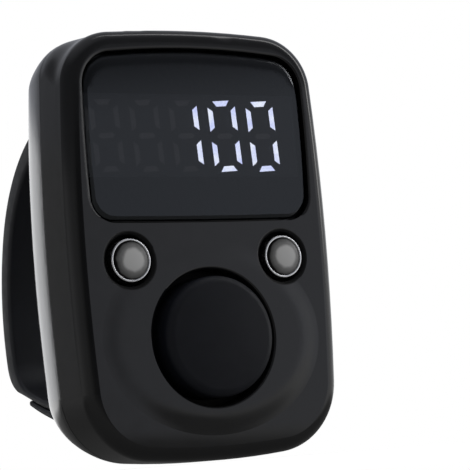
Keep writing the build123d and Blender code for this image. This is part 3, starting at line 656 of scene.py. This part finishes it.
def tab_stations():
    """Pairs of lower and upper points, from the bead in the lower slot to the tab's thin tip."""
    stations = root_stations(-1, (NECK_Y, NECK_Y / 2, 0, TAB_SHOULDER / 3))
    thin_from = TAB_REACH - TAB_TIP_LENGTH
    for step in range(TAB_ROWS + 1):
        y = TAB_SHOULDER + (TAB_REACH - TAB_SHOULDER) * step / TAB_ROWS
        share = max(0, (y - thin_from) / TAB_TIP_LENGTH)
        thickness = TAB_THICKNESS + (TAB_TIP_THICKNESS - TAB_THICKNESS) * share
        stations.append((seat(y, -thickness), seat(y, 0)))
    return stations


# Strap: mesh steps

EDGE_RADIUS = 0.42 * MM
EDGE_SHARE = 0.42
EDGE_ROWS = 6
ROUND_SIDES = 40
BAND_CREASE = 35
STUD_CREASE = 50


def as_object(shape, name):
    """New object in the scene from a bmesh, which it frees."""
    mesh = bpy.data.meshes.new(name)
    shape.to_mesh(mesh)
    shape.free()
    piece = bpy.data.objects.new(name, mesh)
    bpy.context.scene.collection.objects.link(piece)
    return piece


def skin(name, loops):
    """Closed skin through loops of as many points each."""
    shape = bmesh.new()
    rings = [[shape.verts.new(point) for point in loop] for loop in loops]
    for ring, following in zip(rings, rings[1:]):
        for index in range(len(ring)):
            after = (index + 1) % len(ring)
            shape.faces.new((ring[index], ring[after], following[after], following[index]))
    shape.faces.new(rings[0][::-1])
    shape.faces.new(rings[-1])
    bmesh.ops.recalc_face_normals(shape, faces=shape.faces)
    return as_object(shape, name)


def section(first, second):
    """Rounded loop across the band, between a point on one face and its pair on the other."""
    thickness = (second - first).length
    radius = min(EDGE_RADIUS, thickness * EDGE_SHARE)
    through = (second - first).normalized()
    loop = []
    for side, depth, begin in ((1, radius, -90), (1, thickness - radius, 0),
                               (-1, thickness - radius, 90), (-1, radius, 180)):
        for step in range(EDGE_ROWS + 1):
            angle = radians(begin + 90 * step / EDGE_ROWS)
            x = side * (STRAP_HALF_WIDTH - radius) + radius * cos(angle)
            point = first + through * (depth + radius * sin(angle))
            loop.append(Vector((x, point.x, point.y)))
    return loop


def turned(name, profile, origin, direction):
    """Solid of revolution from (radius, height) points, standing at origin along direction."""
    turn = Vector((0, 0, 1)).rotation_difference(direction).to_matrix()
    angles = [2 * pi * step / ROUND_SIDES for step in range(ROUND_SIDES)]
    loops = []
    for radius, height in profile:
        loops.append([origin + turn @ Vector((radius * cos(angle), radius * sin(angle), height))
                      for angle in angles])
    return skin(name, loops)


def smooth(piece, crease):
    """Smooth shading, with edges sharper than the crease in degrees left crisp."""
    shape = bmesh.new()
    shape.from_mesh(piece.data)
    for face in shape.faces:
        face.smooth = True
    for edge in shape.edges:
        edge.smooth = len(edge.link_faces) == 2 and edge.calc_face_angle() < radians(crease)
    shape.to_mesh(piece.data)
    shape.free()


def apply_modifiers(piece):
    """Keeps the mesh that the modifiers make, and takes them off."""
    graph = bpy.context.evaluated_depsgraph_get()
    made = bpy.data.meshes.new_from_object(piece.evaluated_get(graph))
    piece.modifiers.clear()
    piece.data = made


# Strap: its pieces

STUD_Y = 6.5 * MM
STUD_RADIUS = 0.85 * MM
STUD_FLARE = 0.12 * MM
STUD_EDGE = 0.1 * MM
STUD_HEAD_RADIUS = 1.5 * MM
STUD_HEAD_THICKNESS = 0.6 * MM
STUD_DOME_ROWS = 9
HOLE_RADIUS = 0.95 * MM
HOLE_END_MARGIN = 1.7 * MM
HOLE_COUNT = 3
CUTTER_REACH = 2 * MM


def seat_normal(y):
    """Direction away from the finger, square to the seat."""
    return Vector((0, y, seat(y, 0).y - SEAT_CENTRE)).normalized()


def on_seat(y, rise):
    """The seat's point in space, in the plane x = 0."""
    point = seat(y, rise)
    return Vector((0, point.x, point.y))


def cut_holes(tab):
    """Cuts the tab's button holes, square to it."""
    pitch = (TAB_REACH - HOLE_END_MARGIN - STUD_Y) / (HOLE_COUNT - 1)
    profile = [(HOLE_RADIUS, -CUTTER_REACH), (HOLE_RADIUS, CUTTER_REACH)]
    for step in range(HOLE_COUNT):
        y = STUD_Y + step * pitch
        cutter = turned("cutter", profile, on_seat(y, 0), seat_normal(y))
        cut = tab.modifiers.new("hole", "BOOLEAN")
        cut.operation = "DIFFERENCE"
        cut.object = cutter
        apply_modifiers(tab)
        bpy.data.objects.remove(cutter)


def stud_profile():
    """Radii and heights of the stud, from inside the tail to the middle of its domed head."""
    neck = TAIL_THICKNESS / 2 + 2 * LAYER_GAP + TAB_THICKNESS
    dome_foot = neck + STUD_EDGE
    dome_rise = STUD_HEAD_THICKNESS - STUD_EDGE
    profile = [(STUD_RADIUS, 0), (STUD_RADIUS, neck - STUD_FLARE), (STUD_RADIUS + STUD_EDGE, neck),
               (STUD_HEAD_RADIUS - STUD_EDGE, neck), (STUD_HEAD_RADIUS, dome_foot)]
    for step in range(1, STUD_DOME_ROWS):
        angle = radians(90 * step / STUD_DOME_ROWS)
        profile.append((STUD_HEAD_RADIUS * cos(angle) ** 0.5, dome_foot + dome_rise * sin(angle)))
    profile.append((STUD_EDGE, neck + STUD_HEAD_THICKNESS))
    return profile


def strap_band(material):
    """The loop, from its bead in the upper slot to the end of the thin tail."""
    piece = skin("strap_band", [section(*pair) for pair in band_stations()])
    smooth(piece, BAND_CREASE)
    piece.data.materials.append(material)
    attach(piece, "case")
    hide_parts("finger_strap")


def strap_end_tab(material):
    """The short lower end with its three holes."""
    piece = skin("strap_end_tab", [section(*pair) for pair in tab_stations()])
    cut_holes(piece)
    smooth(piece, BAND_CREASE)
    piece.data.materials.clear()
    piece.data.materials.append(material)
    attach(piece, "case")
    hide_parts("strap_tab")


def strap_stud(material):
    """Mushroom stud under the tail, whose head lies below the tab."""
    origin = on_seat(STUD_Y, LAYER_GAP + TAIL_THICKNESS / 2)
    piece = turned("strap_stud", stud_profile(), origin, seat_normal(STUD_Y))
    smooth(piece, STUD_CREASE)
    piece.data.materials.append(material)
    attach(piece, "case")


silicone = strap_silicone()
strap_band(silicone)
strap_end_tab(silicone)
strap_stud(silicone)


# Floor and light

# Levels round the room by heading in degrees, with 0 at the back and 90 at the right
ROOM_STOPS = [
    (-180, 0.06), (-169, 0.07), (-150, 0.19), (-135, 0.27), (-68, 0.42), (-30, 0.17), (-23, 0.17),
    (-13, 1.25), (30, 1.22), (60, 1.0), (134, 1.0), (140, 0.92), (148, 0.66), (154.5, 0.6),
    (159.5, 0.12), (166, 0.06), (180, 0.06),
]
UPPER_STOPS = [
    (-180, 0.14), (-68, 0.16), (-30, 0.13), (-14, 0.38), (50, 0.45), (90, 0.5), (124, 0.24),
    (180, 0.14),
]
STRIP_STOPS = [(103, 0.0), (109, 1.0), (114, 1.0), (120, 0.0)]
# Heights in the room are sines of the angle above the horizon
UPPER_RISE = [(0.162, 0.0), (0.20, 1.0)]
CROWN_RISE = [(0.60, 0.0), (0.97, 1.0)]
STRIP_FOOT = (0.085, 0.12)
COOL = (0.955, 0.985, 1.08)
BACKDROP = (0.985, 0.995, 1.015)
COOL_SPAN = (radians(125), radians(142))
CROWN_COLOUR = (0.40, 0.41, 0.445, 1)
STRIP_COLOUR = (4.0, 4.0, 4.0, 1)
FILL_LEVEL = 0.9
FILL_FROM_RIGHT = 0.35

FLOOR_Z = -21.35 * MM
FLOOR_RADIUS = 1.2
FLOOR_SIDES = 64
FLOOR_LIFT = 0.7
PAPER_DARK = (0.345, 0.345, 0.345)
PAPER_LIGHT = (0.355, 0.355, 0.355)
PAPER_IN_MIRRORS = (0.15, 0.15, 0.15, 1)
# In reflections the floor glows with painted light that follows the room's level far away, and holds a dim
# painted shade near the object
FAR_LOSS = 0.13
FAR_SPAN = (40 * MM, 110 * MM)
NEAR_PAINTED_SHADE_LEVELS = (0.11, 0.03)
NEAR_SPAN = (-16 * MM, 0)


def ray_kinds(tree):
    """One for rays that show a white background, straight or through a piece, and one for reflections."""
    path = tree.nodes.new("ShaderNodeLightPath")
    straight = calculate(tree, "MAXIMUM", path.outputs["Is Camera Ray"], path.outputs["Is Transmission Ray"])
    return straight, path.outputs["Is Glossy Ray"]


def round_room(tree, place):
    """Heading of a place as an angle and as a share of a full turn."""
    heading = calculate(tree, "ARCTAN2", place["X"], place["Y"])
    return heading, spread(tree, heading, 0, 1, -pi, pi)


def round_stops(stops):
    """Stops round the room, from degrees of heading to shares of a full turn."""
    return [((angle + 180) / 360, level) for angle, level in stops]


def floor_paper():
    """Pale paper that looks white and keeps the object's shadow, with painted light and shade in
    reflections.
    """
    material, tree, shader = start_material("floor_paper", (0.35, 0.35, 0.35), 0.9)
    shader.inputs["Specular IOR Level"].default_value = 0.0
    shader.inputs["Emission Color"].default_value = WHITE
    place = place_parts(tree)
    _, turn = round_room(tree, place)
    straight, mirrored = ray_kinds(tree)
    room = ramp(tree, turn, round_stops(ROOM_STOPS))
    far = calculate(tree, "MAXIMUM", minus(tree, room, FAR_LOSS), 0)
    # Painted shade near the object and painted light from the room far away, only in reflections
    near = spread(tree, place["Y"], *NEAR_PAINTED_SHADE_LEVELS, *NEAR_SPAN)
    away = spread(tree, distance(tree, place["X"], place["Y"]), 0, 1, *FAR_SPAN)
    level = plus(tree, times(tree, far, away), times(tree, near, minus(tree, 1, away)))
    lift = plus(tree, times(tree, straight, FLOOR_LIFT), times(tree, level, mirrored))
    tree.links.new(lift, shader.inputs["Emission Strength"])
    paper = mottle(tree, scale=60, dark=PAPER_DARK, light=PAPER_LIGHT)
    tree.links.new(blend(tree, mirrored, paper, PAPER_IN_MIRRORS), shader.inputs["Base Color"])
    return material


def plain_floor():
    """Round sheet of paper just under the object."""
    shape = bmesh.new()
    bmesh.ops.create_circle(shape, cap_ends=True, radius=FLOOR_RADIUS, segments=FLOOR_SIDES)
    floor = as_object(shape, "floor")
    floor.location = (0, 0, FLOOR_Z)
    floor.data.materials.append(floor_paper())


def mirrored_room(tree, place):
    """What reflections show: white backdrop, cool dim front, darker upper part and a strip light."""
    heading, turn = round_room(tree, place)
    height = spread(tree, place["Z"], 0, 1, 0, 1)
    backdrop = ramp(tree, turn, round_stops(ROOM_STOPS), BACKDROP)
    front = ramp(tree, turn, round_stops(ROOM_STOPS), COOL)
    around = blend(tree, spread(tree, heading, 0, 1, *COOL_SPAN), backdrop, front)
    above = ramp(tree, turn, round_stops(UPPER_STOPS), COOL)
    room = blend(tree, ramp(tree, height, UPPER_RISE), around, above)
    room = blend(tree, ramp(tree, height, CROWN_RISE), room, CROWN_COLOUR)
    strip_height = spread(tree, height, 0, 1, *STRIP_FOOT)
    strip = times(tree, ramp(tree, turn, round_stops(STRIP_STOPS)), strip_height)
    return blend(tree, strip, room, STRIP_COLOUR)


def studio_light():
    """Even light, a little stronger from the right, with a room in reflections and a white background."""
    world = bpy.data.worlds.new("studio")
    bpy.context.scene.world = world
    world.use_nodes = True
    tree = world.node_tree
    place = place_parts(tree, "Generated")
    straight, mirrored = ray_kinds(tree)
    fill = plus(tree, times(tree, place["X"], FILL_FROM_RIGHT), FILL_LEVEL)
    lit = blend(tree, mirrored, fill, mirrored_room(tree, place))
    tree.links.new(blend(tree, straight, lit, WHITE), tree.nodes["Background"].inputs["Color"])


plain_floor()
studio_light()


# Camera at the photograph's angle

CAMERA_AZIMUTH = radians(29.964)
CAMERA_ELEVATION = radians(-6.008)
CAMERA_ROLL = radians(-4.591)
CAMERA_AIM = Vector((3.285, -14.0, 0.614)) * MM
CAMERA_DISTANCE = 208.956 * MM
FOCAL_PIXELS = 2126.235
PHOTO_PIXELS = 470
SENSOR_WIDTH = 36


def photo_camera():
    """Camera whose view of the object is the photograph's."""
    lens = bpy.data.cameras.new("photo_camera")
    lens.sensor_width = SENSOR_WIDTH
    lens.lens = SENSOR_WIDTH * FOCAL_PIXELS / PHOTO_PIXELS
    lens.clip_start = 0.01
    lens.clip_end = 10
    level = cos(CAMERA_ELEVATION)
    back = Vector((-sin(CAMERA_AZIMUTH) * level, -cos(CAMERA_AZIMUTH) * level, sin(CAMERA_ELEVATION)))
    right = (-back).cross(Vector((0, 0, 1))).normalized()
    up = right.cross(-back)
    turned_right = cos(CAMERA_ROLL) * right + sin(CAMERA_ROLL) * up
    turned_up = cos(CAMERA_ROLL) * up - sin(CAMERA_ROLL) * right
    matrix = Matrix((turned_right, turned_up, back)).transposed().to_4x4()
    matrix.translation = CAMERA_AIM + back * CAMERA_DISTANCE
    camera = bpy.data.objects.new("photo_camera", lens)
    bpy.context.scene.collection.objects.link(camera)
    camera.matrix_world = matrix
    bpy.context.scene.camera = camera


photo_camera()
bpy.context.scene.view_settings.view_transform = "Standard"
